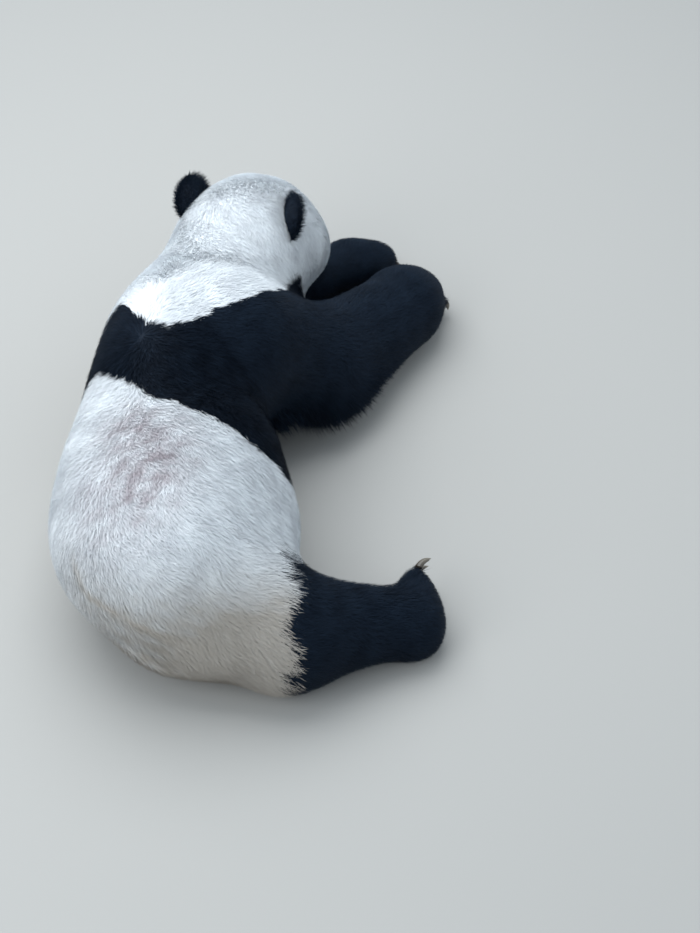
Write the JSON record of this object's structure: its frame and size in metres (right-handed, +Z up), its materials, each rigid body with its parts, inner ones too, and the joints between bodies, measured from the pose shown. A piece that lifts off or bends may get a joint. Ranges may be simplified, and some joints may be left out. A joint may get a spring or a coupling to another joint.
{
  "type": "giant panda",
  "caption": "Life-size giant panda, a still model lying on its belly, chin on a forearm, forelegs and one hind leg stretched to one side.",
  "frame": {"origin": "on the floor beneath the middle of the chest, on the flat of the belly", "axes": "+Y from the rump towards the head, +X to the animal's right, +Z up"},
  "size_m": [0.8247, 1.4111, 0.443],
  "materials": {
    "white_fur": "dense coat, slightly soiled along the back",
    "black_fur": "dense coat with a faint cool sheen",
    "eye": "wet and dark brown",
    "nose": "moist, finely pebbled",
    "claw": "worn horn, paler at the tip"
  },
  "bodies": {
    "root": {"claw_forepaw_left_1": "claw", "claw_forepaw_left_2": "claw", "claw_forepaw_left_3": "claw", "claw_forepaw_left_4": "claw", "claw_forepaw_left_5": "claw", "claw_forepaw_right_1": "claw", "claw_forepaw_right_2": "claw", "claw_forepaw_right_3": "claw", "claw_forepaw_right_4": "claw", "claw_forepaw_right_5": "claw", "claw_hindfoot_left_1": "claw", "claw_hindfoot_left_2": "claw", "claw_hindfoot_left_3": "claw", "claw_hindfoot_left_4": "claw", "claw_hindfoot_left_5": "claw", "claw_hindfoot_right_1": "claw", "claw_hindfoot_right_2": "claw", "claw_hindfoot_right_3": "claw", "claw_hindfoot_right_4": "claw", "claw_hindfoot_right_5": "claw", "ear_left": "black_fur", "ear_right": "black_fur", "eye_left": "eye", "eye_right": "eye", "foreleg_left": "black_fur", "foreleg_right": "black_fur", "forepaw_left": "black_fur", "forepaw_right": "black_fur", "head": "white_fur", "hindfoot_left": "black_fur", "hindfoot_right": "black_fur", "hindleg_left": "black_fur", "hindleg_right": "black_fur", "neck": "white_fur", "nose": "nose", "tail": "white_fur", "trunk": "white_fur"}
  },
  "joints": []
}
